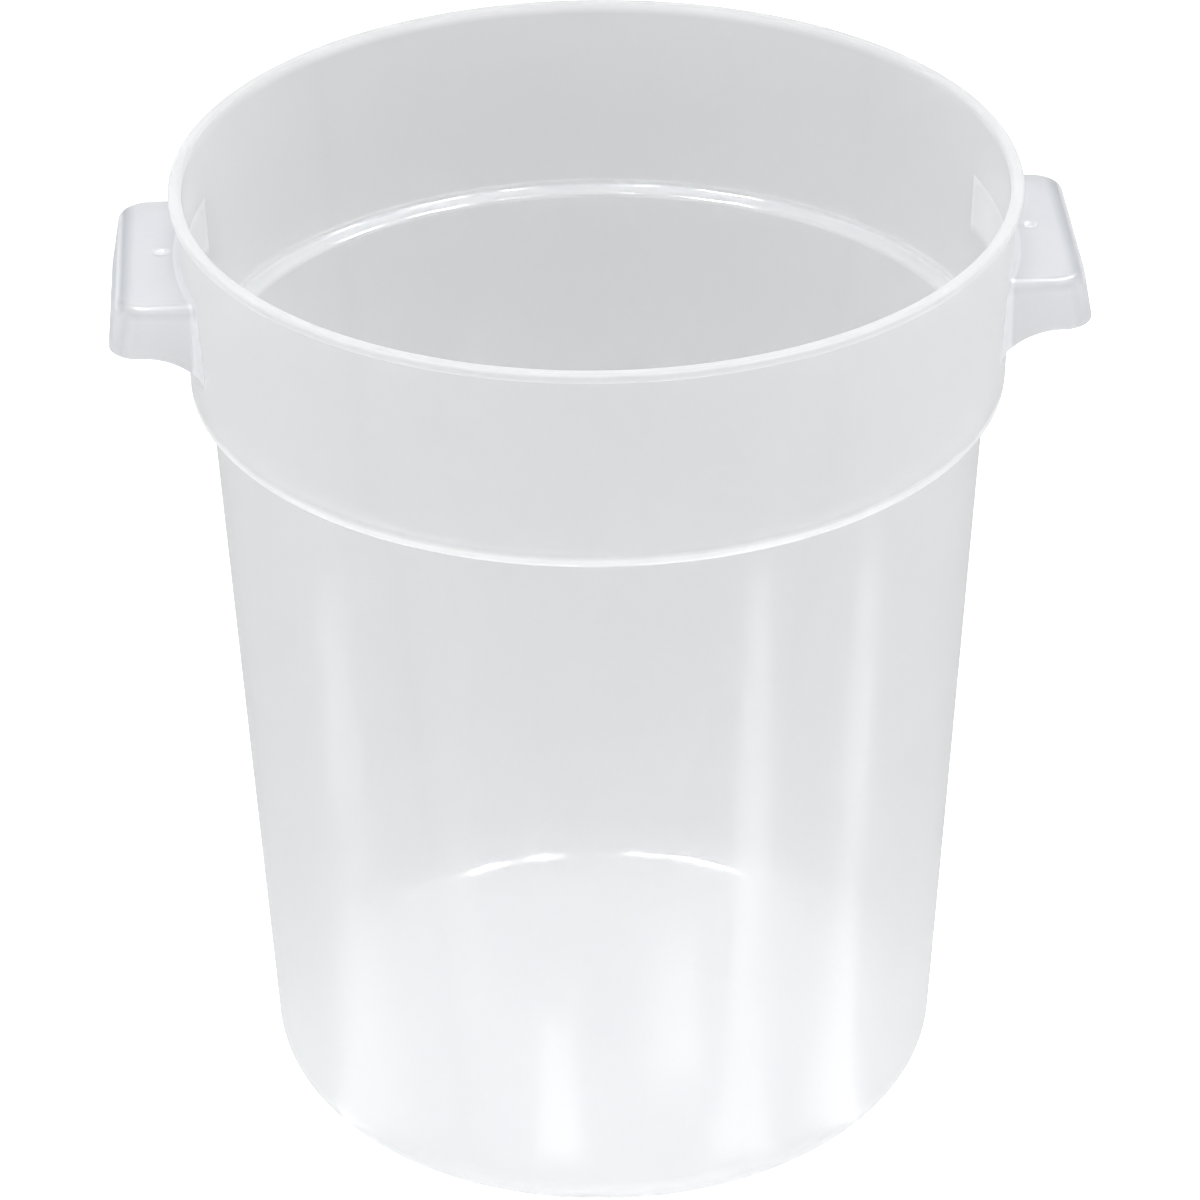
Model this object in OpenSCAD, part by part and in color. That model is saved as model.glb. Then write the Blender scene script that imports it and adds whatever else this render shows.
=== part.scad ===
// Round dough proofing tub with two ear handles, moulded in one from milky polypropylene.
// Millimetres, +Z up. The origin is the centre of the flat base. The handles lie on X.
// The moulding is divided at its own features, and each node meets the next face to face.

/* [Tub] */
// Height from the base to the top of the rim
tub_h = 380; // [360:1:420]
// Outer diameter of the tapered wall, at the height where the heel's curve is centred
wall_bottom_d = 259; // [250:1:270]
// Outer diameter of the tapered wall under the shoulder
wall_top_d = 290.8; // [280:0.2:294]
// Outer radius of the rounded heel between the base and the wall
heel_r = 20.5; // [14:0.5:28]
// Thickness of the floor, wall and collar
wall_t = 2.5; // [2:0.1:3]

/* [Shoulder and collar] */
// Height of the shoulder's underside
shoulder_z = 300; // [280:1:305]
// Outer diameter of the collar at its lower edge
collar_bottom_d = 304.8; // [300:0.2:308]
// Outer diameter of the collar under the rim
collar_top_d = 310.4; // [306:0.2:311]
// Radius of the collar's rounded lower edge
collar_edge_r = 2.4; // [1:0.1:2.4]
// Radius of the hollow curve between the inner ledge and the collar
ledge_fillet_r = 2.5; // [1:0.1:4]

/* [Rim] */
// Outer diameter of the rim bead
rim_d = 315; // [313:0.5:320]
// Height of the rim bead
rim_h = 3.4; // [3:0.1:5]
// Radius of the bead's rounded top edges
rim_round_r = 1.5; // [0.8:0.1:2]

/* [Handles] */
// Distance from the tub's axis to the lower edge of a handle's lip
handle_reach = 180.8; // [178:0.2:190]
// Width of a handle across its two webs
handle_w = 90; // [70:1:110]
// Height of the handle plate's top above the base
handle_top_z = 353.7; // [346:0.1:360]
// Depth of the lip and of the webs' level edge, below the plate's top
handle_depth = 21; // [18:0.5:24]
// Thickness of the handle's walls
handle_t = 2.4; // [2:0.1:3]
// Radius of the handle's upright corners
handle_corner_r = 12; // [10:0.5:14]
// Radius of the edge round the plate's top
handle_edge_r = 5.2; // [3.2:0.1:6]
// Angle by which the lip leans out on its way down, in degrees
lip_lean = 10; // [0:1:12]
// Radius of the curve that carries a web down into the collar
gusset_r = 20; // [12:0.5:20]

/* [Moulding marks] */
// Distance from the tub's axis to the round pin mark on each plate
mark_x = 161; // [158:0.5:170]
// Diameter of the pin mark
mark_d = 6; // [4:0.5:8]
// Depth of the pin mark
mark_depth = 0.6; // [0.3:0.1:0.8]

/* [Hidden] */
$fn = 180;

milky_pp = "#dde1e4";
bright_pp = "#e9ecee";
handle_pp = "#d3d8e0";

LEFT = -1;
RIGHT = 1;
FRONT = -1;
BACK = 1;

wall_bottom_r = wall_bottom_d / 2;
wall_top_r = wall_top_d / 2;
collar_bottom_r = collar_bottom_d / 2;
collar_top_r = collar_top_d / 2;
rim_r = rim_d / 2;
ledge_z = shoulder_z + wall_t;
rim_z = tub_h - rim_h;
rim_inner_r = collar_top_r - wall_t;

// The wall leans out by this angle, and the heel's arc ends square to it
wall_lean = atan((wall_top_r - wall_bottom_r) / (shoulder_z - heel_r));
heel_x = wall_bottom_r - heel_r / cos(wall_lean);

handle_half = handle_w / 2;
handle_low_z = handle_top_z - handle_depth;
plate_low_z = handle_top_z - handle_edge_r;
lip_slope = tan(lip_lean);
plate_reach = handle_reach - (plate_low_z - handle_low_z) * lip_slope;
lip_x = plate_reach - handle_corner_r;
// Where a web's centre plane meets the collar, and how far the gusset's curve bites into it
web_y = handle_half - handle_t / 2;
gusset_bite = 0.5;
web_root_x = sqrt(pow(collar_bottom_r, 2) - pow(web_y, 2));
gusset_x = web_root_x + gusset_r - gusset_bite;
mark_sphere_r = (pow(mark_d / 2, 2) + pow(mark_depth, 2)) / (2 * mark_depth);
past = 1;
thin = 0.01;
// A handle's block ends at this distance from the axis, well inside the collar
block_x = web_root_x - 10;
// Facets round the handles' corners and pin marks, and round their edges
hull_fn = 48;
edge_fn = 28;

// A point at radius r from the centre of the heel's arc, on the line square to the wall
function heel_end(r) = [heel_x + r * cos(wall_lean), heel_r - r * sin(wall_lean)];

module floor_panel() {
    color(milky_pp) cylinder(r = heel_x, h = wall_t);
}

// Quarter of a hollow ring: the sector from straight down to square to the wall
module heel_ring() {
    color(milky_pp) rotate_extrude() intersection() {
        translate([heel_x, heel_r]) difference() {
            circle(r = heel_r);
            circle(r = heel_r - wall_t);
        }
        polygon([
            [heel_x, heel_r], [heel_x, -past], [heel_x + 2 * heel_r, -past],
            heel_end(2 * heel_r)
        ]);
    }
}

module tub_wall() {
    // The slanting wall is a little thicker along a level line than square to its face
    level_t = wall_t / cos(wall_lean);
    color(milky_pp) rotate_extrude() polygon([
        heel_end(heel_r - wall_t), heel_end(heel_r),
        [wall_top_r, shoulder_z], [wall_top_r - level_t, shoulder_z]
    ]);
}

// Flat ring that carries the collar, with its lower outer and upper inner edges rounded
module shoulder_ring() {
    inner_r = wall_top_r - wall_t / cos(wall_lean);
    color(bright_pp) rotate_extrude() {
        translate([inner_r, shoulder_z])
            square([collar_bottom_r - collar_edge_r - inner_r, wall_t - collar_edge_r / 2]);
        translate([inner_r + collar_edge_r / 2, shoulder_z])
            square([collar_bottom_r - collar_edge_r * 1.5 - inner_r, wall_t]);
        translate([inner_r + collar_edge_r / 2, ledge_z - collar_edge_r / 2])
            circle(r = collar_edge_r / 2);
        intersection() {
            translate([collar_bottom_r - collar_edge_r, shoulder_z + collar_edge_r])
                circle(r = collar_edge_r);
            translate([collar_bottom_r - collar_edge_r, shoulder_z])
                square([collar_edge_r, collar_edge_r]);
        }
        translate([collar_bottom_r - collar_edge_r, shoulder_z + collar_edge_r])
            square([collar_edge_r, wall_t - collar_edge_r]);
    }
}

module collar() {
    color(milky_pp) rotate_extrude() {
        polygon([
            [collar_bottom_r - wall_t, ledge_z], [collar_bottom_r, ledge_z],
            [collar_top_r, rim_z], [rim_inner_r, rim_z]
        ]);
        difference() {
            translate([collar_bottom_r - wall_t - ledge_fillet_r, ledge_z])
                square([ledge_fillet_r + wall_t / 2, ledge_fillet_r]);
            translate([collar_bottom_r - wall_t - ledge_fillet_r, ledge_z + ledge_fillet_r])
                circle(r = ledge_fillet_r);
        }
    }
}

module rim_bead() {
    color(bright_pp) rotate_extrude() {
        translate([rim_inner_r, rim_z])
            square([rim_r - rim_inner_r, rim_h - rim_round_r]);
        translate([rim_inner_r + rim_round_r, rim_z])
            square([rim_r - rim_inner_r - 2 * rim_round_r, rim_h]);
        for (x = [rim_inner_r + rim_round_r, rim_r - rim_round_r])
            translate([x, tub_h - rim_round_r])
                circle(r = rim_round_r);
    }
}

// Solid block of a handle, shrunk all round by inset: a hull of the two outer corners, which
// lean out on their way down and carry a ring of round section on top, and of a matching
// section where the block ends inside the collar
module handle_block(inset, low_z) {
    half = handle_half - inset;
    corner_r = handle_corner_r - inset;
    edge_r = handle_edge_r - inset;
    lean_out = (plate_low_z - low_z) * lip_slope;
    hull() for (end = [FRONT, BACK]) {
        translate([lip_x + lean_out, end * (half - corner_r), low_z])
            cylinder(r = corner_r, h = thin, $fn = hull_fn);
        translate([lip_x, end * (half - corner_r), plate_low_z]) rotate_extrude($fn = hull_fn)
            translate([corner_r - edge_r, 0])
                circle(r = edge_r, $fn = edge_fn);
        translate([block_x, end * (half - edge_r), plate_low_z]) rotate([0, 90, 0])
            cylinder(r = edge_r, h = past, $fn = edge_fn);
        translate([block_x, end * (half - past / 2) - past / 2, low_z])
            cube([past, past, plate_low_z - low_z]);
    }
}

// Outside of the collar as a solid cone, which every handle piece is cut back to
module collar_cone() {
    translate([0, 0, ledge_z])
        cylinder(r1 = collar_bottom_r, r2 = collar_top_r, h = rim_z - ledge_z);
}

// Thin hood of a handle: the block, hollowed from below and cut back to the collar
module handle_hood() {
    difference() {
        handle_block(0, handle_low_z);
        handle_block(handle_t, handle_low_z - past);
        collar_cone();
    }
}

module side_of_tub(side) {
    flip_x = side == LEFT ? 1 : 0;
    mirror([flip_x, 0, 0]) children();
}

module handle_plate(side) {
    color(handle_pp) side_of_tub(side) difference() {
        intersection() {
            handle_hood();
            translate([0, -handle_half - past, plate_low_z])
                cube([handle_reach + past, handle_w + 2 * past, handle_edge_r + past]);
        }
        translate([mark_x, 0, handle_top_z - mark_depth + mark_sphere_r])
            sphere(r = mark_sphere_r, $fn = hull_fn);
    }
}

module handle_lip(side) {
    color(handle_pp) side_of_tub(side) intersection() {
        handle_hood();
        translate([lip_x, -handle_half - past, handle_low_z])
            cube([handle_reach - lip_x + past, handle_w + 2 * past, plate_low_z - handle_low_z]);
    }
}

// Wing that runs from the web's level edge down to the collar on a hollow curve
module gusset_plan() {
    difference() {
        translate([web_root_x - wall_t, handle_low_z - gusset_r])
            square([gusset_x - web_root_x + wall_t, gusset_r]);
        translate([gusset_x, handle_low_z - gusset_r])
            circle(r = gusset_r);
    }
}

module handle_web(side, end) {
    inner_y = end == FRONT ? -handle_half : handle_half - handle_t;
    color(handle_pp) side_of_tub(side) difference() {
        union() {
            translate([web_root_x - wall_t, inner_y, handle_low_z])
                cube([lip_x - web_root_x + wall_t, handle_t, plate_low_z - handle_low_z]);
            translate([0, inner_y + handle_t, 0]) rotate([90, 0, 0])
                linear_extrude(handle_t) gusset_plan();
        }
        collar_cone();
    }
}

module left_handle_plate() { handle_plate(LEFT); }
module left_handle_lip() { handle_lip(LEFT); }
module left_handle_front_web() { handle_web(LEFT, FRONT); }
module left_handle_back_web() { handle_web(LEFT, BACK); }
module right_handle_plate() { handle_plate(RIGHT); }
module right_handle_lip() { handle_lip(RIGHT); }
module right_handle_front_web() { handle_web(RIGHT, FRONT); }
module right_handle_back_web() { handle_web(RIGHT, BACK); }

floor_panel();
heel_ring();
tub_wall();
shoulder_ring();
collar();
rim_bead();
left_handle_plate();
left_handle_lip();
left_handle_front_web();
left_handle_back_web();
right_handle_plate();
right_handle_lip();
right_handle_front_web();
right_handle_back_web();
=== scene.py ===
# %% [markdown]
# # A tall dough proofing tub
# The real object is one moulding of milky polypropylene: a tapered round wall on a rounded
# heel, a stepped collar with a rolled rim, and two ear handles that are moulded on hollow,
# open underneath. It has no moving parts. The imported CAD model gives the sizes, and this
# lesson dresses it in three seamless pieces: the tub and its two handles.

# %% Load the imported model
import math

import bmesh
import bpy
import numpy as np
from mathutils import Matrix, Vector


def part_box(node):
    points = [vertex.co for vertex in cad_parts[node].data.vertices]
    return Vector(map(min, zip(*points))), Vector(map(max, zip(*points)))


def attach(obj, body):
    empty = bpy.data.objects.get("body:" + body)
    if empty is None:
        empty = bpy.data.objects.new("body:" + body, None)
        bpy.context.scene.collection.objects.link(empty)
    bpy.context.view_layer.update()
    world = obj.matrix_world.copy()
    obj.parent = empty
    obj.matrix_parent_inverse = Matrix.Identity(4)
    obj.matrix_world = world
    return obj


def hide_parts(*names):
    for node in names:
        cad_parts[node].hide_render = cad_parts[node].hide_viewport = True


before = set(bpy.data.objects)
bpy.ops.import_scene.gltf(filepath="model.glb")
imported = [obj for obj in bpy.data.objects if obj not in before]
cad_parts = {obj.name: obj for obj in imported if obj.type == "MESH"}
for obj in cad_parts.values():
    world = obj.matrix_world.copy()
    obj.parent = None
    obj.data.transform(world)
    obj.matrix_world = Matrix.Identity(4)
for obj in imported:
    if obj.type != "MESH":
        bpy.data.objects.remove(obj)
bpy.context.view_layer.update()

MM = 0.001

# %% [markdown]
# ## Sizes
# Every size that the CAD model shows is read from the boxes of its nodes, so the visible
# pieces follow the model. What a box can't show, such as an edge radius, is a named value in
# millimetres. The scene itself is in metres, so lengths are turned to metres at the end.

# %% Sizes from the model, in millimetres


def box_mm(node):
    """Low and high corner of a CAD node, in millimetres."""
    return [np.array(corner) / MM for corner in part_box(node)]


wall_low, wall_high = box_mm("tub_wall")
shoulder_low, shoulder_high = box_mm("shoulder_ring")
collar_low, collar_high = box_mm("collar")
bead_low, bead_high = box_mm("rim_bead")
plate_low, plate_high = box_mm("right_handle_plate")
lip_low, lip_high = box_mm("right_handle_lip")

TUB_TOP = bead_high[2]
RIM_R = bead_high[0]
RIM_LOW = bead_low[2]
WALL_TOP_R = wall_high[0]
SHOULDER_LOW = shoulder_low[2]
LEDGE = shoulder_high[2]
COLLAR_LOW_R = shoulder_high[0]
COLLAR_TOP_R = collar_high[0]
HEEL_R = 20.5
HEEL_X = box_mm("floor_panel")[1][0]
WALL = LEDGE - SHOULDER_LOW
COLLAR_EDGE_R = 2.4
LEDGE_FILLET_R = 1.2
LEDGE_EDGE_R = 1.2
RIM_ROUND_R = 1.5
print(f"tub {TUB_TOP:.1f} mm high, rim {2 * RIM_R:.1f} mm across, wall {WALL:.1f} mm thick")

# %% [markdown]
# ## Meshes from grids
# A surface here is a grid of points worked out with numpy as whole arrays. The grid's
# neighbours are joined by four-sided faces, doubled points along seams are merged, and the
# faces are turned to point outwards. Smooth shading then hides the facets, except across
# edges sharper than a set angle.

# %% Helpers that turn grids into meshes
MERGE = 2e-6
SHARP_ANGLE = math.radians(38)


def grid_faces(rows, columns, start=0):
    """Four-sided faces between neighbours of a grid stored row by row from index start."""
    index = start + np.arange(rows * columns).reshape(rows, columns)
    corners = index[:-1, :-1], index[1:, :-1], index[1:, 1:], index[:-1, 1:]
    return np.stack([c.ravel() for c in corners], axis=1)


def make_piece(name, points_mm, faces):
    """A closed mesh object from points in millimetres and faces, with its doubles merged."""
    mesh = bpy.data.meshes.new(name)
    mesh.from_pydata((points_mm * MM).tolist(), [], [list(map(int, f)) for f in faces])
    work = bmesh.new()
    work.from_mesh(mesh)
    bmesh.ops.remove_doubles(work, verts=work.verts, dist=MERGE)
    bmesh.ops.dissolve_degenerate(work, edges=work.edges, dist=MERGE)
    bmesh.ops.recalc_face_normals(work, faces=work.faces)
    open_edges = sum(1 for edge in work.edges if not edge.is_manifold)
    work.to_mesh(mesh)
    work.free()
    mesh.shade_smooth()
    mesh.set_sharp_from_angle(angle=SHARP_ANGLE)
    piece = bpy.data.objects.new(name, mesh)
    bpy.context.scene.collection.objects.link(piece)
    print(f"{name}: {len(mesh.polygons)} faces, {open_edges} open edges")
    return piece


def arc(centre, radius, start, end, count):
    """Points on a circle's arc from angle start to end, in degrees: centre + radius (cos, sin)."""
    angle = np.radians(np.linspace(start, end, count))
    return np.stack([centre[0] + radius * np.cos(angle), centre[1] + radius * np.sin(angle)], 1)


def line(start, end, count, guard=0):
    """Points spaced evenly along a straight line, without its two ends. A guard adds a point
    at that distance from each end, so that a mark on the end's curve fades out quickly."""
    step = np.linspace(0, 1, count + 2)[1:-1]
    if guard:
        share = guard / math.dist(start, end)
        step = np.concatenate([[share], step, [1 - share]])
    return np.array(start) * (1 - step[:, None]) + np.array(end) * step[:, None]


# %% [markdown]
# ## The tub
# A moulded tub is a body of revolution: one closed profile, turned round the Z axis. The
# profile runs from the middle of the base along the outside, over the rim, and back down the
# inside to the middle of the floor. The wall leans outwards so that the tub leaves its mould
# and stacks, and the heel's arc ends square to that lean.

# %% The tub's profile
LEAN = math.atan((WALL_TOP_R - HEEL_X - HEEL_R) / (SHOULDER_LOW - HEEL_R))
for _ in range(8):
    wall_bottom_r = HEEL_X + HEEL_R / math.cos(LEAN)
    LEAN = math.atan((WALL_TOP_R - wall_bottom_r) / (SHOULDER_LOW - HEEL_R))
LEAN_DEG = math.degrees(LEAN)
WALL_LEVEL = WALL / math.cos(LEAN)
UNDER_FILLET_R = 0.8
RIM_INNER_R = COLLAR_TOP_R - WALL
ARC_STEPS = 9
GUARD = 0.8
HANDLE_HALF = plate_high[1]
HANDLE_TOP = plate_high[2]
HANDLE_LOW = lip_low[2]
HANDLE_T = 2.4
JOIN_FADE = 0.3
PLATE_ROWS = HANDLE_TOP - np.array([
    -JOIN_FADE, 0, HANDLE_T, HANDLE_T + JOIN_FADE,
])
VEIL_ROWS = LEDGE + np.array([3.0])
heel_centre = (HEEL_X, HEEL_R)



def collar_line(low_r, low_z, high_r, high_z):
    """Rows up the collar, with rows added close to both faces of the handles' plates."""
    z = np.concatenate([line((low_z, 0), (high_z, 0), 18, GUARD)[:, 0], PLATE_ROWS, VEIL_ROWS])
    z = np.sort(z)
    return np.stack([np.interp(z, [low_z, high_z], [low_r, high_r]), z], axis=1)


outside = [
    line((0, 0), (HEEL_X, 0), 14),
    arc(heel_centre, HEEL_R, -90, -LEAN_DEG, 25),
    line((wall_bottom_r, HEEL_R), (WALL_TOP_R, SHOULDER_LOW), 24, GUARD),
    arc((WALL_TOP_R + UNDER_FILLET_R, SHOULDER_LOW - UNDER_FILLET_R), UNDER_FILLET_R, 180, 90, 5),
    arc((COLLAR_LOW_R - COLLAR_EDGE_R, SHOULDER_LOW + COLLAR_EDGE_R), COLLAR_EDGE_R,
        -90, 0, ARC_STEPS),
    collar_line(COLLAR_LOW_R, LEDGE, COLLAR_TOP_R, RIM_LOW),
    arc((COLLAR_TOP_R + UNDER_FILLET_R, RIM_LOW - UNDER_FILLET_R), UNDER_FILLET_R, 180, 90, 5),
    arc((RIM_R - 0.4, RIM_LOW + 0.4), 0.4, -90, 0, 4),
    arc((RIM_R - RIM_ROUND_R, TUB_TOP - RIM_ROUND_R), RIM_ROUND_R, 0, 90, ARC_STEPS),
]
ledge_r = WALL_TOP_R - WALL_LEVEL
inner_collar_r = COLLAR_LOW_R - WALL
inside = [
    arc((RIM_INNER_R + RIM_ROUND_R, TUB_TOP - RIM_ROUND_R), RIM_ROUND_R, 90, 180, ARC_STEPS),
    collar_line(inner_collar_r, LEDGE + LEDGE_FILLET_R, RIM_INNER_R, RIM_LOW)[::-1],
    arc((inner_collar_r - LEDGE_FILLET_R, LEDGE + LEDGE_FILLET_R), LEDGE_FILLET_R,
        0, -90, ARC_STEPS),
    arc((ledge_r + LEDGE_EDGE_R, LEDGE - LEDGE_EDGE_R), LEDGE_EDGE_R, 90, 180, ARC_STEPS),
    line((ledge_r, LEDGE - LEDGE_EDGE_R), (wall_bottom_r - WALL_LEVEL, HEEL_R), 24, GUARD),
    arc(heel_centre, HEEL_R - WALL, -LEAN_DEG, -90, 25),
    line((HEEL_X, WALL), (0, WALL), 14),
]
profile = np.concatenate(outside + inside)
print(f"wall leans {LEAN_DEG:.2f} degrees; the profile has {len(profile)} points")

# %% Turn the profile into the tub
TURNS = 352
web_sides = HANDLE_HALF - np.array([-JOIN_FADE, 0, HANDLE_T, HANDLE_T + JOIN_FADE])
web_turns = np.arcsin(web_sides / COLLAR_TOP_R)
turn_angles = np.sort(np.concatenate([
    np.linspace(0, 2 * np.pi, TURNS, endpoint=False),
    web_turns, np.pi - web_turns, np.pi + web_turns, 2 * np.pi - web_turns,
]))


def revolve(points, angle):
    """Each profile point (r, z) carried round: (r cos a, r sin a, z), with a pole at each end."""
    turns = len(angle)
    r, z = points[:, :1], points[:, 1:]
    ring = np.stack([r * np.cos(angle), r * np.sin(angle), z + 0 * angle], axis=2)
    count = len(points)
    index = np.arange(count * turns).reshape(count, turns)
    onward = np.roll(index, -1, axis=1)
    quads = np.stack([index[:-1], index[1:], onward[1:], onward[:-1]], axis=2).reshape(-1, 4)
    poles = np.array([[0, 0, points[0, 1]], [0, 0, points[-1, 1]]])
    first, last = count * turns, count * turns + 1
    fan_low = np.stack([np.full(turns, first), index[0], onward[0]], axis=1)
    fan_high = np.stack([np.full(turns, last), onward[-1], index[-1]], axis=1)
    return np.concatenate([ring.reshape(-1, 3), poles]), [*quads, *fan_low, *fan_high]


tub = make_piece("moulded_tub", *revolve(profile, turn_angles))

# %% [markdown]
# ## The handles
# Each handle is a thin hood, open underneath: a level plate, a lip round its outer side and
# a web on each flank. The webs run on down to the collar on a hollow curve. One band of
# points goes round the webs and the lip, over both faces and round the bottom edge. Two
# patches close the plate's top and underside. Where the hood meets the collar its faces
# flare out on a small fillet, and its root is sunk into the collar's wall.

# %% Sizes of a handle
EDGE_R = 3.0
LIP_SLOPE = math.tan(math.radians(10))
PLATE_LOW = HANDLE_TOP - EDGE_R
LIP_X = lip_low[0] - LIP_SLOPE * (PLATE_LOW - plate_low[2])
LIP_REACH = lip_high[0]
CORNER_R = 12.0
GUSSET_R = 20.0
GUSSET_X = LIP_X - 0.5
ROOT_FILLET_R = 2.0
ROOT_DEPTH = 0.05
BOTTOM_ROUND_R = 0.7
MARK_X = 161.0
MARK_R = 2.4
MARK_EDGE = 0.8
MARK_DEPTH = 0.6
MARK_RAISE = 0.5

# %% Rows and columns of the handle's grids
# How far each row lies in from the outer face, how high up the wall it is (0 to 1), how far
# above the plate's lower edge, and how far it is drawn in from the bottom edge
CURVE_STEPS = 10
turn = np.radians(np.linspace(0, 90, CURVE_STEPS))
climb = np.linspace(0, 1, 8)
edge_turn = np.radians(np.linspace(0, 90, 5))[1:]
outer_edge = BOTTOM_ROUND_R * (1 - np.cos(edge_turn))
edge_rise = BOTTOM_ROUND_R * (1 - np.sin(edge_turn))
INNER_R = EDGE_R - HANDLE_T

row_in = np.concatenate([
    EDGE_R * (1 - np.cos(turn))[::-1], 0 * climb[:-1][::-1], outer_edge,
    (HANDLE_T - outer_edge)[::-1], HANDLE_T + 0 * climb[:-1],
    HANDLE_T + INNER_R * (1 - np.cos(turn)),
])
row_climb = np.concatenate([
    1 + 0 * turn, climb[:-1][::-1], 0 * edge_turn, 0 * edge_turn, climb[:-1], 1 + 0 * turn,
])
row_above = np.concatenate([
    EDGE_R * np.sin(turn)[::-1], 0 * climb[:-1], 0 * edge_turn,
    0 * edge_turn, 0 * climb[:-1], INNER_R * np.sin(turn),
])
row_drawn = np.concatenate([
    0 * turn, BOTTOM_ROUND_R * (1 - climb[:-1][::-1]), edge_rise,
    edge_rise[::-1], BOTTOM_ROUND_R * (1 - climb[:-1]), 0 * turn,
])
ROWS = len(row_in)
# Directions in which the rows flare out at the root: sideways and upwards
flare_side = np.concatenate([
    np.cos(turn)[::-1], 1 + 0 * climb[:-1], np.linspace(1, 0, len(edge_turn)),
    np.linspace(0, -1, len(edge_turn)), -1 + 0 * climb[:-1], -np.cos(turn),
])
flare_up = np.concatenate([
    np.sin(turn)[::-1], 0 * climb[:-1], 0 * edge_turn,
    0 * edge_turn, 0 * climb[:-1], -np.sin(turn),
])
# Steps outwards from the collar: first in millimetres along the fillet, then as a share
fillet_steps = np.array([-ROOT_DEPTH, 0, 0.1, 0.3, 0.65, 1.1, 1.55, ROOT_FILLET_R])
share_steps = np.concatenate([[0.04, 0.08], np.linspace(0.1, 0.49, 26), np.linspace(0.55, 1, 8)])
out_mm = np.concatenate([fillet_steps, np.full(len(share_steps), ROOT_FILLET_R)])
out_share = np.concatenate([0 * fillet_steps, share_steps])
fillet_gap = np.clip(ROOT_FILLET_R - out_mm, 0, ROOT_FILLET_R)
flare = ROOT_FILLET_R - np.sqrt(ROOT_FILLET_R**2 - fillet_gap**2)
print(f"a handle's band has {ROWS} rows and {len(out_mm)} columns along each web")

# %% Surfaces of a handle


def collar_x(y, z):
    """Distance out of the collar's surface at side distance y and height z: sqrt(r(z)^2 - y^2)."""
    slope = (COLLAR_TOP_R - COLLAR_LOW_R) / (RIM_LOW - LEDGE)
    radius = COLLAR_LOW_R + slope * (z - LEDGE)
    return np.sqrt(radius**2 - y**2)


def along(root, end, column):
    """Distance out at each column: millimetres from the root, then a share of what is left."""
    return root + out_mm[column] + out_share[column] * (end - root - ROOT_FILLET_R)


def web_points(flank):
    """One flank's web. A row's height is its share of the way from the bottom edge's curve
    to the plate's lower edge, and near the root the rows swing out by the fillet's flare."""
    column = np.arange(len(out_mm))[:, None]
    y = (HANDLE_HALF - row_in)[None, :] + 0 * column
    x = along(collar_x(y, HANDLE_LOW), LIP_X, column)
    into_arc = np.clip(GUSSET_X - x, 0, GUSSET_R)
    arc_height = np.sqrt(GUSSET_R**2 - into_arc**2)
    bottom = HANDLE_LOW - GUSSET_R + arc_height
    drawn = row_drawn[None, :]
    low_z = bottom + drawn * arc_height / GUSSET_R
    z = low_z + (PLATE_LOW - low_z) * row_climb + row_above
    x = along(collar_x(y, z), LIP_X, column)
    x = x + out_share[column] * LIP_SLOPE * np.clip(PLATE_LOW - z, 0, None)
    x = x - drawn * into_arc / GUSSET_R * (out_mm[column] > 0)
    swing = flare[:, None] * (row_drawn + row_climb > 0)
    y = y + swing * flare_side
    z = z + swing * flare_up
    return np.stack([x, flank * y, z], axis=2)


corner_turn = np.radians(np.linspace(90, 0, 13))
lip_half = np.concatenate([np.linspace(33, 8, 6), np.linspace(6, 4, 3), np.linspace(3.5, 0, 15)])


def lip_points():
    """The two corners and the lip between them: each row is a rounded outline, which leans
    out on its way down by the lip's slope."""
    z = HANDLE_LOW + row_drawn + (PLATE_LOW - HANDLE_LOW - row_drawn) * row_climb + row_above
    lean = LIP_SLOPE * np.clip(PLATE_LOW - z, 0, None)
    radius = CORNER_R - row_in
    straight = HANDLE_HALF - CORNER_R
    corner_x = LIP_X + lean + radius * np.cos(corner_turn)[:, None]
    corner_y = straight + radius * np.sin(corner_turn)[:, None]
    lip_y = (lip_half[1:] * straight / lip_half[0])[:, None] + 0 * z
    lip_x = (LIP_X + lean + radius)[None, :] + 0 * lip_y
    x = np.concatenate([corner_x, lip_x])
    y = np.concatenate([corner_y, lip_y])
    half = np.stack([x, -y, z + 0 * x], axis=2)
    other = half[::-1][1:] * np.array([1, -1, 1])
    return np.concatenate([half, other])


def plate_points(height, dip):
    """The plate's face at that height, from the root out to the lip's outline. The pin mark
    is a shallow round dip: depth (1 - (distance / radius)^2) inside its radius."""
    outline_r = CORNER_R - EDGE_R
    straight = HANDLE_HALF - CORNER_R
    side = np.concatenate([
        straight + outline_r * np.sin(corner_turn), lip_half[1:] * straight / lip_half[0],
    ])
    end = LIP_X + np.concatenate([
        outline_r * np.cos(corner_turn), np.full(len(lip_half) - 1, outline_r),
    ])
    y = np.concatenate([-side, side[::-1][1:]])[None, :]
    end = np.concatenate([end, end[::-1][1:]])[None, :]
    column = np.arange(len(out_mm))[:, None]
    x = along(collar_x(y, height), end, column)
    away = np.hypot(x - MARK_X, y + 0 * x)
    share = np.clip((MARK_R - away) / MARK_EDGE, 0, 1)
    depth = dip * share * share * (3 - 2 * share)
    depth = depth - dip * MARK_RAISE * np.exp(-((away - MARK_R) / MARK_EDGE) ** 2)
    direction = 1 if dip else -1
    z = height + direction * flare[:, None] - depth
    return np.stack([x, y + 0 * x, z], axis=2)


def root_cap(first, last, top, under):
    """Faces that close the sunk root: each row of the outer face is joined to its partner
    on the inner face, on both webs and along the plate."""
    faces = []
    for column in (first, last):
        outer, inner = column[:ROWS // 2], column[::-1][:ROWS // 2]
        faces.append(np.stack([outer[:-1], outer[1:], inner[1:], inner[:-1]], axis=1))
    faces.append(np.stack([top[:-1], top[1:], under[1:], under[:-1]], axis=1))
    return np.concatenate(faces)


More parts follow.
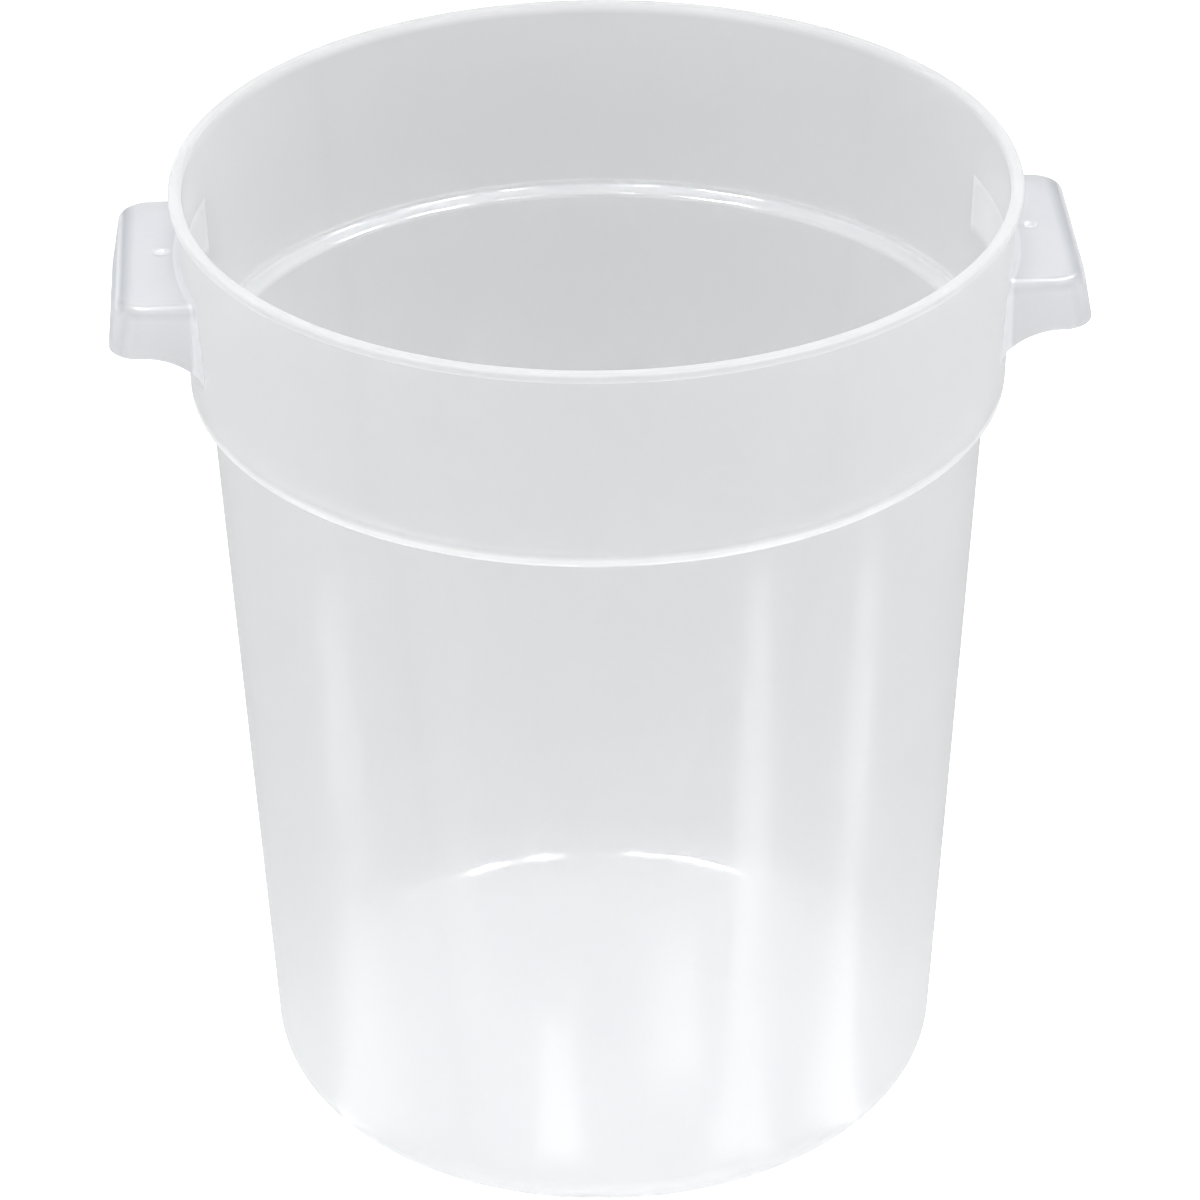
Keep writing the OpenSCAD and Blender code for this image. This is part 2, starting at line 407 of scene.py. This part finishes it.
def make_handle(name, side):
    """Band, plate top, plate underside and root cap as one closed mesh, on side -1 or 1."""
    front = web_points(-1)
    band = np.concatenate([front, lip_points()[1:-1], web_points(1)[::-1]])
    top = plate_points(HANDLE_TOP, MARK_DEPTH)
    under = plate_points(HANDLE_TOP - HANDLE_T, 0)
    grids = [band, top, under]
    points = np.concatenate([g.reshape(-1, 3) for g in grids])
    starts = np.cumsum([0] + [g.shape[0] * g.shape[1] for g in grids])
    faces = [grid_faces(g.shape[0], g.shape[1], s) for g, s in zip(grids, starts)]
    band_index = np.arange(starts[1]).reshape(band.shape[:2])
    top_row = starts[1] + np.arange(top.shape[1])
    under_row = starts[2] + np.arange(under.shape[1])
    faces.append(root_cap(band_index[0], band_index[-1], top_row, under_row))
    return make_piece(name, points * np.array([side, 1, 1]), np.concatenate(faces))


right_handle = make_handle("moulded_handle_right", 1)
left_handle = make_handle("moulded_handle_left", -1)

# %% Mark where the moulding is thicker, with painted glow and painted shade
FADE = 0.8


def within(value, low, high, fade=FADE):
    """1 between low and high, fading to 0 outside over fade: clip(1 - gap / fade)."""
    gap = np.maximum(low - value, value - high)
    return np.clip(1 - gap / fade, 0, 1)


def mark(piece, name, share_of):
    """Write share_of(x, y, z), worked out for all vertices at once, as a named attribute."""
    flat = np.empty(3 * len(piece.data.vertices))
    piece.data.vertices.foreach_get("co", flat)
    x, y, z = flat.reshape(-1, 3).T / MM
    attribute = piece.data.attributes.new(name, "FLOAT", "POINT")
    attribute.data.foreach_set("value", share_of(x, y, z).astype(np.float32))


def tub_thick(x, y, z):
    """Thickness mark of the tub, which also sets a painted glow: the rim bead, the shoulder's
    outer corner, the floor with its heel, and the collar where a handle's plate and webs join it,
    each with its own share. Painted shade is taken off on the inner ledge and its roundings."""
    r = np.hypot(x, y)
    outer = r > inner_collar_r + 1
    rim = RIM_THICK * within(z, RIM_LOW, TUB_TOP)
    corner = CORNER_THICK * outer * within(z, SHOULDER_LOW, LEDGE + 1)
    floor_part = FLOOR_THICK * within(z, 0, HEEL_R / 3, HEEL_R / 2)
    side = np.abs(COLLAR_TOP_R * y / r)
    hood = within(side, 0, HANDLE_HALF, JOIN_FADE) * within(z, HANDLE_LOW, HANDLE_TOP, JOIN_FADE)
    hollow = within(side, 0, HANDLE_HALF - HANDLE_T - JOIN_FADE, JOIN_FADE) * within(
        z, 0, HANDLE_TOP - HANDLE_T - JOIN_FADE, JOIN_FADE)
    join = JOIN_THICK * hood * (1 - (1 - HOLLOW_SHARE) * hollow)
    # Painted shade on the inner ledge: full on its rounding into the collar, half further in.
    up = z - LEDGE
    shade = (1 - outer) * np.interp(up, [-1.0, 0, 1.2, 3.0], [0, 1, 0.5, 0]) * np.where(
        r > inner_collar_r - LEDGE_FILLET_R - 0.1, LEDGE_SHADE, LEDGE_SHADE / 2)
    return np.max([rim, corner, floor_part, join], axis=0) - shade


def inside_of_tub(x, y, z):
    """1 on the faces that the polished core moulds: the inside of wall, ledge and floor."""
    r = np.hypot(x, y)
    wall_r = np.interp(z, [0, HEEL_R, SHOULDER_LOW, LEDGE, TUB_TOP], [
        HEEL_X, wall_bottom_r, WALL_TOP_R, COLLAR_LOW_R, COLLAR_TOP_R])
    heel = np.hypot(np.maximum(r - HEEL_X, 0), np.minimum(z - HEEL_R, 0)) < HEEL_R - WALL / 2
    inside = np.where(z < HEEL_R, heel, r < wall_r - WALL / 2).astype(float)
    return np.where(z > RIM_LOW + 1, RIM_POLISH, inside)


def ledge_veil(x, y, z):
    """1 on the inner ledge and its two roundings, where the wall is thick and milky."""
    inside = np.hypot(x, y) < inner_collar_r + 1
    return inside * within(z, LEDGE - 0.3, LEDGE + LEDGE_FILLET_R + 0.5, 1.3)


def handle_thick(x, y, z):
    """Thickness shares of the lip, its bend, the webs, the pin mark and the root, which also set
    a painted glow, less a dark line of painted shade along the plate inside its rounded edge.
    """
    out = np.abs(x) - LIP_X - CORNER_R
    # A dark line of painted shade: strongest where the plate rounds over to the lip, fading 3.5 mm
    # in.
    edge = np.interp(out, -EDGE_R + np.array([-3.5, 0.5, 1.6]), [0, 1, 0]) * within(
        z, HANDLE_TOP - EDGE_R, 400) * within(np.abs(y), 0, HANDLE_HALF - 6, 3)
    bend = within(out, -0.8, 9, 0.8) * within(z, PLATE_LOW, 400)
    web = within(HANDLE_HALF - np.abs(y), -9, HANDLE_T / 2) * within(z, 0, PLATE_LOW - 1, 1.0)
    lip = within(out, -0.5, 9, 1.0) * within(z, 0, PLATE_LOW - 1, 1.0)
    pin = within(np.hypot(np.abs(x) - MARK_X, y), 0, MARK_R, 0.5) * within(z, HANDLE_TOP - 1, 400)
    root = within(np.hypot(x, y) - COLLAR_TOP_R, -9, ROOT_FILLET_R / 2)
    return LIP_THICK * lip + BEND_THICK * bend + WEB_THICK * web - EDGE_PAINTED_SHADE * edge + PIN_THICK * pin + ROOT_THICK * root


# A share above 0 also whitens the tone and adds a painted glow; edge and ledge shares paint shade.
RIM_THICK = 0.22
CORNER_THICK = 1.0
JOIN_THICK = 0.65
RIM_POLISH = -1.0
ROOT_THICK = 0.45
PIN_THICK = 0.45
BEND_THICK = 0.5
HOLLOW_SHARE = 0.85
FLOOR_THICK = 0.2
LIP_THICK = 0.0
# Depth of the painted dark line along each handle's outer edge
EDGE_PAINTED_SHADE = 0.55
WEB_THICK = 0.2
LEDGE_SHADE = 0.3
mark(tub, "thick", tub_thick)
mark(tub, "polished", inside_of_tub)
mark(tub, "veil", ledge_veil)
for handle in (left_handle, right_handle):
    mark(handle, "thick", handle_thick)
    mark(handle, "polished", lambda x, y, z: 0 * z)
    mark(handle, "veil", lambda x, y, z: 0 * z)

# %% [markdown]
# ## The material
# Food tubs of this kind are moulded in natural polypropylene. It has no pigment: its
# crystals scatter light, so a 2.5 mm wall is milky. Most light that enters is scattered
# back or through, a little passes straight on and shows what touches the far side, and the
# smooth mould leaves a soft gloss. Three shaders mixed do the same: a glossy pale body, a
# translucent part that lets light through the wall, and a small transparent part. Where
# the moulding is thicker the body is whiter and glows a little, a painted glow, and a grey
# of painted shade darkens the inner ledge and a line along each handle's outer edge.

# %% Colours and nodes


def linear(code):
    """Linear colour of an sRGB hex code: ((c + 0.055) / 1.055)^2.4 above the toe."""
    channel = np.array([int(code[i:i + 2], 16) for i in (1, 3, 5)]) / 255
    low, high = channel / 12.92, ((channel + 0.055) / 1.055) ** 2.4
    return (*np.where(channel <= 0.04045, low, high), 1.0)


def add_node(tree, kind, settings=None, **links):
    """A node of that kind. settings gives attributes or socket values, links its inputs."""
    node = tree.nodes.new(kind)
    for key, value in (settings or {}).items():
        if isinstance(key, int) or key in node.inputs:
            node.inputs[key].default_value = value
        else:
            setattr(node, key, value)
    for key, source in links.items():
        slot = node.inputs[int(key[2:])] if key.startswith("in") and key[2:].isdigit() else None
        tree.links.new(source, slot or node.inputs[key.replace("_", " ")])
    return node


# %% Moulded translucent polypropylene
BODY_COLOUR = "#F1F2F3"
THROUGH_COLOUR = "#F3F4F5"
# Whiter tone of thicker plastic, which also stands in for light gathered there: partly painted
# light
THICK_COLOUR = "#FAFBFB"
# Grey of painted shade, mixed in where the thickness mark is below 0
PAINTED_SHADE_COLOUR = "#A5AAB0"
THICK_CLEAR = 0.15
THICK_LETS_THROUGH = 0.3
# Strength of a painted glow on thick parts, an emission though they are no lamp
PAINTED_GLOW = 0.11
VEILED_CLEAR = 0.35
WAVE_MM = 70
GRAIN_MM = 1.5
CLEAR_SQUARE_ON = 0.58
CLEAR_EDGE_ON = 0.15
LET_THROUGH = 0.5
HOOD_LETS_THROUGH = 0.65


def moulded_polypropylene(name, body, through, let_through):
    """Gloss on a pale body, with a painted glow and painted shade from the thickness mark, mixed
    with light let through the wall and a little clear view.
    """
    material = bpy.data.materials.new(name)
    material.use_nodes = True
    tree = material.node_tree
    tree.nodes.clear()
    place = add_node(tree, "ShaderNodeTexCoord").outputs["Object"]
    wave = add_node(tree, "ShaderNodeTexNoise", {"Scale": 1 / (WAVE_MM * MM), "Detail": 1.0},
                    Vector=place)
    grain = add_node(tree, "ShaderNodeTexNoise", {"Scale": 1 / (GRAIN_MM * MM), "Detail": 2.0},
                     Vector=place)
    thick = add_node(tree, "ShaderNodeAttribute", {"attribute_name": "thick"}).outputs["Fac"]
    polished = add_node(tree, "ShaderNodeAttribute", {"attribute_name": "polished"})
    even = add_node(tree, "ShaderNodeMath", {"operation": "MAXIMUM"}, in0=thick,
                    in1=polished.outputs["Fac"])
    wave_strength = add_node(tree, "ShaderNodeMapRange", {"To Min": 0.2, "To Max": 0.02},
                             Value=even.outputs["Value"])
    wave_bump = add_node(tree, "ShaderNodeBump", {"Distance": 0.003},
                         Height=wave.outputs["Fac"], Strength=wave_strength.outputs["Result"])
    bump = add_node(tree, "ShaderNodeBump", {"Strength": 0.03, "Distance": 0.0003},
                    Height=grain.outputs["Fac"], Normal=wave_bump.outputs["Normal"])
    shine = add_node(tree, "ShaderNodeMapRange", {
        "From Min": -1.0, "From Max": 0.0, "To Min": 0.08, "To Max": 0.5,
    }, Value=polished.outputs["Fac"])
    rough = add_node(tree, "ShaderNodeMapRange", {
        "From Min": -1.0, "To Min": 0.38, "To Max": 0.02,
    },
                     Value=polished.outputs["Fac"])
    # Share of painted shade: the thickness mark below 0, mixing body and translucency towards grey
    painted_shade_share = add_node(tree, "ShaderNodeMapRange", {"From Min": 0.0, "From Max": -1.0}, Value=thick)
    tone = add_node(tree, "ShaderNodeMix", {
        "data_type": "RGBA", 6: linear(body), 7: linear(THICK_COLOUR),
    }, in0=thick)
    shade = add_node(tree, "ShaderNodeMix", {
        "data_type": "RGBA", 7: linear(PAINTED_SHADE_COLOUR),
    }, in0=painted_shade_share.outputs["Result"], in6=tone.outputs[2])
    within_wall = add_node(tree, "ShaderNodeMix", {
        "data_type": "RGBA", 6: linear(through), 7: linear(PAINTED_SHADE_COLOUR),
    }, in0=painted_shade_share.outputs["Result"])
    # Painted glow: the surface emits a little light where the thickness mark is above 0
    painted_glow = add_node(tree, "ShaderNodeMapRange", {"To Max": PAINTED_GLOW}, Value=thick)
    gloss = add_node(tree, "ShaderNodeBsdfPrincipled", {
        "IOR": 1.49, "Emission Color": (1, 1, 1, 1),
    }, Emission_Strength=painted_glow.outputs["Result"], Specular_IOR_Level=shine.outputs["Result"],
                     Roughness=rough.outputs["Result"], Normal=bump.outputs["Normal"],
                     Base_Color=shade.outputs[2])
    let = add_node(tree, "ShaderNodeBsdfTranslucent", Color=within_wall.outputs[2])
    let_share = add_node(tree, "ShaderNodeMapRange", {
        "To Min": let_through, "To Max": THICK_LETS_THROUGH,
    }, Value=thick)
    milky = add_node(tree, "ShaderNodeMixShader", in0=let_share.outputs["Result"],
                     in1=gloss.outputs["BSDF"], in2=let.outputs["BSDF"])
    clear = add_node(tree, "ShaderNodeBsdfTransparent")
    slant = add_node(tree, "ShaderNodeLayerWeight", {"Blend": 0.5})
    share = add_node(tree, "ShaderNodeMapRange", {
        "From Min": 0.3, "From Max": 1.0, "To Min": CLEAR_SQUARE_ON, "To Max": CLEAR_EDGE_ON,
    }, Value=slant.outputs["Facing"])
    left_clear = add_node(tree, "ShaderNodeMapRange", {"To Min": 1.0, "To Max": THICK_CLEAR},
                          Value=thick)
    open_share = add_node(tree, "ShaderNodeMath", {"operation": "MULTIPLY"},
                          in0=share.outputs["Result"], in1=left_clear.outputs["Result"])
    veil = add_node(tree, "ShaderNodeAttribute", {"attribute_name": "veil"})
    unveiled = add_node(tree, "ShaderNodeMapRange", {"To Min": 1.0, "To Max": VEILED_CLEAR},
                        Value=veil.outputs["Fac"])
    clear_share = add_node(tree, "ShaderNodeMath", {"operation": "MULTIPLY"},
                           in0=open_share.outputs["Value"], in1=unveiled.outputs["Result"])
    mixed = add_node(tree, "ShaderNodeMixShader", in0=clear_share.outputs["Value"],
                     in1=milky.outputs["Shader"], in2=clear.outputs["BSDF"])
    add_node(tree, "ShaderNodeOutputMaterial", Surface=mixed.outputs["Shader"])
    return material


tub_plastic = moulded_polypropylene("moulded translucent polypropylene",
                                    BODY_COLOUR, THROUGH_COLOUR, LET_THROUGH)
hood_plastic = moulded_polypropylene("translucent polypropylene of the hoods",
                                     "#F0F1F4", "#F2F3F6", HOOD_LETS_THROUGH)
tub.data.materials.append(tub_plastic)
for piece in (left_handle, right_handle):
    piece.data.materials.append(hood_plastic)
print("material:", tub_plastic.name)

# %% Tie the pieces to the model
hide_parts("floor_panel", "heel_ring", "tub_wall", "shoulder_ring", "collar", "rim_bead")
for piece, side in ((left_handle, "left"), (right_handle, "right")):
    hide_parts(*(f"{side}_handle_{part}"
                         for part in ("plate", "lip", "front_web", "back_web")))
for piece in (tub, left_handle, right_handle):
    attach(piece, "root")

# %% [markdown]
# ## Camera
# The photograph was taken from in front and above, with a long lens from about 2.3 m. The
# handles' line is turned a little against the picture, so the camera stands slightly left.

# %% Place the camera
VIEW_TURN = math.radians(2.8)
VIEW_BACK = 1876.9
VIEW_HEIGHT = 1293.2
VIEW_PITCH = 0.5279
VIEW_ROLL = -0.0096
SENSOR_MM = 36.0
LENS_MM = 169.66


def camera_matrix():
    """Axes of the camera: right, up and backwards, from its turn, pitch and roll."""
    ahead = np.array([math.sin(VIEW_TURN) * math.cos(VIEW_PITCH),
                      math.cos(VIEW_TURN) * math.cos(VIEW_PITCH), -math.sin(VIEW_PITCH)])
    right = np.array([math.cos(VIEW_TURN), -math.sin(VIEW_TURN), 0])
    up = np.cross(right, ahead)
    tilt = math.cos(VIEW_ROLL), math.sin(VIEW_ROLL)
    right, up = tilt[0] * right + tilt[1] * up, tilt[0] * up - tilt[1] * right
    stand = np.array([-VIEW_BACK * math.sin(VIEW_TURN), -VIEW_BACK * math.cos(VIEW_TURN),
                      VIEW_HEIGHT]) * MM
    matrix = np.eye(4)
    matrix[:3, 0], matrix[:3, 1], matrix[:3, 2], matrix[:3, 3] = right, up, -ahead, stand
    return Matrix(matrix)


camera_data = bpy.data.cameras.new("camera")
camera_data.lens = LENS_MM
camera_data.sensor_width = SENSOR_MM
camera = bpy.data.objects.new("camera", camera_data)
bpy.context.scene.collection.objects.link(camera)
camera.matrix_world = camera_matrix()
bpy.context.scene.camera = camera
print("camera stands at", [round(v, 3) for v in camera.location])

# %% [markdown]
# ## Light and floor
# The picture is a studio shot on white. A pale world lights the tub from all round, a large
# soft lamp overhead shapes the ledge and the rim, and upright strip lamps draw the soft
# streaks on the wall. The floor is white to the camera and keeps the tub's shadow. Its own
# colour is a painted pool of light, white near the tub and grey further out, which shows
# through the plastic.

# %% World, lamps and floor
WORLD_LIGHT = 0.58
OVERHEAD_W = 15.8
FRONT_W = 13.0
NEAR_LEFT_W = 2.6
NEAR_RIGHT_W = 1.4
CEILING_L = 400
STRIP_SHARE = 1.0
FOOT_W = 0.035
scene = bpy.context.scene
scene.view_settings.view_transform = "Standard"

world = bpy.data.worlds.new("studio")
scene.world = world
world.use_nodes = True
sky = world.node_tree
sky.nodes.clear()
ray = add_node(sky, "ShaderNodeLightPath")
lit = add_node(sky, "ShaderNodeBackground", {"Color": linear("#FFFFFF"), "Strength": WORLD_LIGHT})
white = add_node(sky, "ShaderNodeBackground", {"Color": (1, 1, 1, 1), "Strength": 1.0})
backdrop = add_node(sky, "ShaderNodeMixShader", in0=ray.outputs["Is Camera Ray"],
                    in1=lit.outputs["Background"], in2=white.outputs["Background"])
add_node(sky, "ShaderNodeOutputWorld", Surface=backdrop.outputs["Shader"])


def lamp(name, place, aim, size, watts, gloss_only=False):
    """A rectangular area lamp at place, facing aim, all in metres."""
    data = bpy.data.lights.new(name, "AREA")
    data.shape = "RECTANGLE"
    data.size, data.size_y = size
    data.energy = watts
    thing = bpy.data.objects.new(name, data)
    bpy.context.scene.collection.objects.link(thing)
    back = np.array(place, float) - np.array(aim, float)
    back /= np.linalg.norm(back)
    across = np.cross((0, 0, 1), back) if abs(back[2]) < 0.99 else np.array((1.0, 0, 0))
    across /= np.linalg.norm(across)
    matrix = np.eye(4)
    matrix[:3, 0], matrix[:3, 1], matrix[:3, 2] = across, np.cross(back, across), back
    matrix[:3, 3] = place
    thing.matrix_world = Matrix(matrix)
    if gloss_only:
        thing.visible_diffuse = False
        thing.visible_transmission = False
        thing.visible_camera = False
    return thing


overhead = lamp("overhead softbox", (0.0, 0.0, 1.9), (0, 0, 0.2), (0.7, 0.7), OVERHEAD_W)
overhead.visible_glossy = False
lamp("front fill", (0.3, -2.0, 0.5), (0, 0, 0.2), (2.0, 0.5), FRONT_W)
lamp("left handle light", (-1.0, -0.2, 0.75), (-0.15, 0, 0.34), (0.4, 0.4), NEAR_LEFT_W)
lamp("right handle light", (1.0, -0.2, 0.75), (0.15, 0, 0.34), (0.4, 0.4), NEAR_RIGHT_W)
foot = lamp("foot light", (0.0, -0.26, 0.02), (0, -0.1, 0.06), (0.3, 0.06), FOOT_W)
foot.visible_glossy = False
foot.visible_camera = False


def ledge_lamp(name, bearing, spread, radiance):
    """Lamp that the ledge's fillets mirror to the camera at that bearing, over that spread."""
    turn = math.radians(bearing)
    ledge_point = 0.147 * np.array([math.sin(turn), math.cos(turn), 0]) + np.array([0, 0, 0.303])
    view = np.array(camera.matrix_world.translation) - ledge_point
    view /= np.linalg.norm(view)
    tilt = math.radians(LEDGE_TILT)
    half = np.array([-math.cos(tilt) * math.sin(turn), -math.cos(tilt) * math.cos(turn),
                     math.sin(tilt)])
    towards = 2 * (view @ half) * half - view
    size = LAMP_AWAY * math.radians(spread) * 1.2, LAMP_HIGH
    place = ledge_point + LAMP_AWAY * towards
    print(name, [round(v, 2) for v in place])
    lamp(name, place, ledge_point, size, math.pi * size[0] * size[1] * radiance, True)


LEDGE_TILT = 50
LAMP_AWAY = 7.0
LAMP_HIGH = 1.1
for number, (bearing, spread) in enumerate([(-38, 8), (-22, 12.5), (-9, 4.5), (10, 5), (23, 14)]):
    ledge_lamp(f"ceiling lamp {number + 1}", bearing, spread, CEILING_L)


def low_strip(name, bearing, near, far, width, radiance):
    """Strip lying on the floor, which the wall at that bearing mirrors as an upright streak."""
    theta = math.radians(bearing)
    onward = 2 * theta + VIEW_TURN
    ahead = np.array([math.sin(onward), -math.cos(onward), 0])
    middle = 0.137 * np.array([math.sin(theta), -math.cos(theta), 0]) + ahead * (near + far) / 2
    data = bpy.data.lights.new(name, "AREA")
    data.shape = "RECTANGLE"
    data.size, data.size_y = width, far - near
    data.energy = math.pi * width * (far - near) * radiance * STRIP_SHARE
    thing = bpy.data.objects.new(name, data)
    bpy.context.scene.collection.objects.link(thing)
    down = np.array([0, 0, -1.0])
    matrix = np.eye(4)
    matrix[:3, 0], matrix[:3, 1], matrix[:3, 2] = np.cross(ahead, down), ahead, down
    matrix[:3, 3] = middle + np.array([0, 0, 0.003])
    thing.matrix_world = Matrix(matrix)
    thing.visible_camera = False
    thing.visible_diffuse = False
    thing.visible_transmission = False


for number, strip in enumerate([
    (-49, 0.005, 0.28, 0.05, 2.4),
    (-49, 0.22, 0.40, 0.08, 3.0),
    (-27, 0.10, 0.45, 0.04, 1.2),
    (-11, 0.02, 0.10, 0.03, 7.0),
    (9.5, 0.06, 0.16, 0.05, 4.5),
    (22.5, 0.01, 0.24, 0.035, 4.5),
    (22.5, 0.18, 0.39, 0.06, 8.0),
    (43, 0.005, 0.28, 0.035, 4.0),
    (43, 0.22, 0.40, 0.06, 5.0),
]):
    low_strip(f"low strip {number + 1}", *strip)

FLOOR_HALF = 6.0
FLOOR_DROP = 0.0002
# A painted pool of light on the floor: white round a point just in front of the tub, fading to
# grey
LIT_POOL_R = 0.14
LIT_POOL_FORWARD = 0.06
LIT_POOL_FADE_R = 0.32
STUDIO_GREY = "#CACACA"
floor_mesh = bpy.data.meshes.new("studio_floor")
floor_mesh.from_pydata([(-FLOOR_HALF, -FLOOR_HALF, 0), (FLOOR_HALF, -FLOOR_HALF, 0),
                        (FLOOR_HALF, FLOOR_HALF, 0), (-FLOOR_HALF, FLOOR_HALF, 0)], [],
                       [(0, 1, 2, 3)])
floor = bpy.data.objects.new("studio_floor", floor_mesh)
floor.location = (0, 0, -FLOOR_DROP)
scene.collection.objects.link(floor)
paper = bpy.data.materials.new("white studio paper")
paper.use_nodes = True
paper_tree = paper.node_tree
paper_tree.nodes.clear()
spot = add_node(paper_tree, "ShaderNodeTexCoord").outputs["Object"]
# Painted pool of light: white near the tub, grey further out
reach = add_node(paper_tree, "ShaderNodeVectorMath", {
    "operation": "DISTANCE", 1: (0, -LIT_POOL_FORWARD, 0),
}, in0=spot)
fade = add_node(paper_tree, "ShaderNodeMapRange", {
    "From Min": LIT_POOL_R, "From Max": LIT_POOL_FADE_R, "interpolation_type": "SMOOTHSTEP",
}, Value=reach.outputs["Value"])
tone = add_node(paper_tree, "ShaderNodeMix", {
    "data_type": "RGBA", 6: linear("#FFFFFF"), 7: linear(STUDIO_GREY),
}, in0=fade.outputs["Result"])
matt = add_node(paper_tree, "ShaderNodeBsdfDiffuse", in0=tone.outputs[2])
glow = add_node(paper_tree, "ShaderNodeEmission", {"Color": (1, 1, 1, 1), "Strength": 0.8})
paper_ray = add_node(paper_tree, "ShaderNodeLightPath")
none = add_node(paper_tree, "ShaderNodeEmission", {"Strength": 0.0})
bare = add_node(paper_tree, "ShaderNodeMath", {"operation": "LESS_THAN", 1: 0.5},
                in0=paper_ray.outputs["Transparent Depth"])
shown = add_node(paper_tree, "ShaderNodeMath", {"operation": "MULTIPLY"},
                 in0=paper_ray.outputs["Is Camera Ray"], in1=bare.outputs["Value"])
shine = add_node(paper_tree, "ShaderNodeMixShader", in0=shown.outputs["Value"],
                 in1=none.outputs["Emission"], in2=glow.outputs["Emission"])
whole = add_node(paper_tree, "ShaderNodeAddShader", in0=matt.outputs["BSDF"],
                 in1=shine.outputs["Shader"])
add_node(paper_tree, "ShaderNodeOutputMaterial", Surface=whole.outputs["Shader"])
floor_mesh.materials.append(paper)
